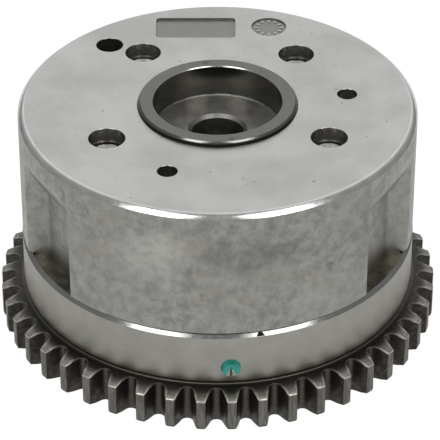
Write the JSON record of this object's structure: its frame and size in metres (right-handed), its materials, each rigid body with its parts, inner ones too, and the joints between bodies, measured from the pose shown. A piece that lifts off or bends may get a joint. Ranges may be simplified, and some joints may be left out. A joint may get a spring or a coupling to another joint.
{
  "type": "cam phaser",
  "caption": "Hydraulic vane cam phaser: round lobed housing bolted to a silent-chain sprocket, vaned rotor inside, raised front sleeve round the cam bolt recess.",
  "frame": {"origin": "on the turning axis at the sprocket's rear face", "axes": "+Z along the turning axis towards the front face with the screw heads; -Y is the side with the timing mark"},
  "size_m": [0.0932, 0.0932, 0.0504],
  "materials": {
    "cast_steel": "satin, ground front face, blotchy cast sides",
    "sprocket_steel": "ground band, dark heat-treated teeth",
    "rotor_steel": "fine turned",
    "sleeve_steel": "turned, dark",
    "screw_steel": "dark, oiled",
    "seal_plastic": "matte",
    "spring_steel": "bright",
    "pin_steel": "ground"
  },
  "bodies": {
    "drive": {"stator_housing": "cast_steel", "sprocket": "sprocket_steel", "housing_screw_1": "screw_steel", "housing_screw_2": "screw_steel", "housing_screw_3": "screw_steel", "housing_screw_4": "screw_steel", "lobe_seal_1": "seal_plastic", "lobe_seal_2": "seal_plastic", "lobe_seal_3": "seal_plastic", "lobe_seal_4": "seal_plastic", "lobe_seal_spring_1": "spring_steel", "lobe_seal_spring_2": "spring_steel", "lobe_seal_spring_3": "spring_steel", "lobe_seal_spring_4": "spring_steel", "lock_pin_seat": "pin_steel", "housing_dowel": "pin_steel"},
    "driven": {"rotor": "rotor_steel", "front_sleeve": "sleeve_steel", "vane_seal_1": "seal_plastic", "vane_seal_2": "seal_plastic", "vane_seal_3": "seal_plastic", "vane_seal_4": "seal_plastic", "vane_seal_spring_1": "spring_steel", "vane_seal_spring_2": "spring_steel", "vane_seal_spring_3": "spring_steel", "vane_seal_spring_4": "spring_steel", "lock_spring_retainer": "pin_steel", "lock_pin_spring": "spring_steel"},
    "lock_pin": {"lock_pin": "pin_steel"}
  },
  "joints": [
    {"name": "rotor_phase", "type": "hinge", "parent": "drive", "child": "driven", "pos_m": [0, 0, 0.032], "axis": [0, 0, 1], "range_deg": [-12.5, 12.5]},
    {"name": "lock_pin_slide", "type": "slide", "parent": "driven", "child": "lock_pin", "axis": [0, 0, 1], "range_m": [0, 0.001], "stiffness_N_per_m": 800, "springref_m": -0.006, "deforming": ["lock_pin_spring"]}
  ]
}
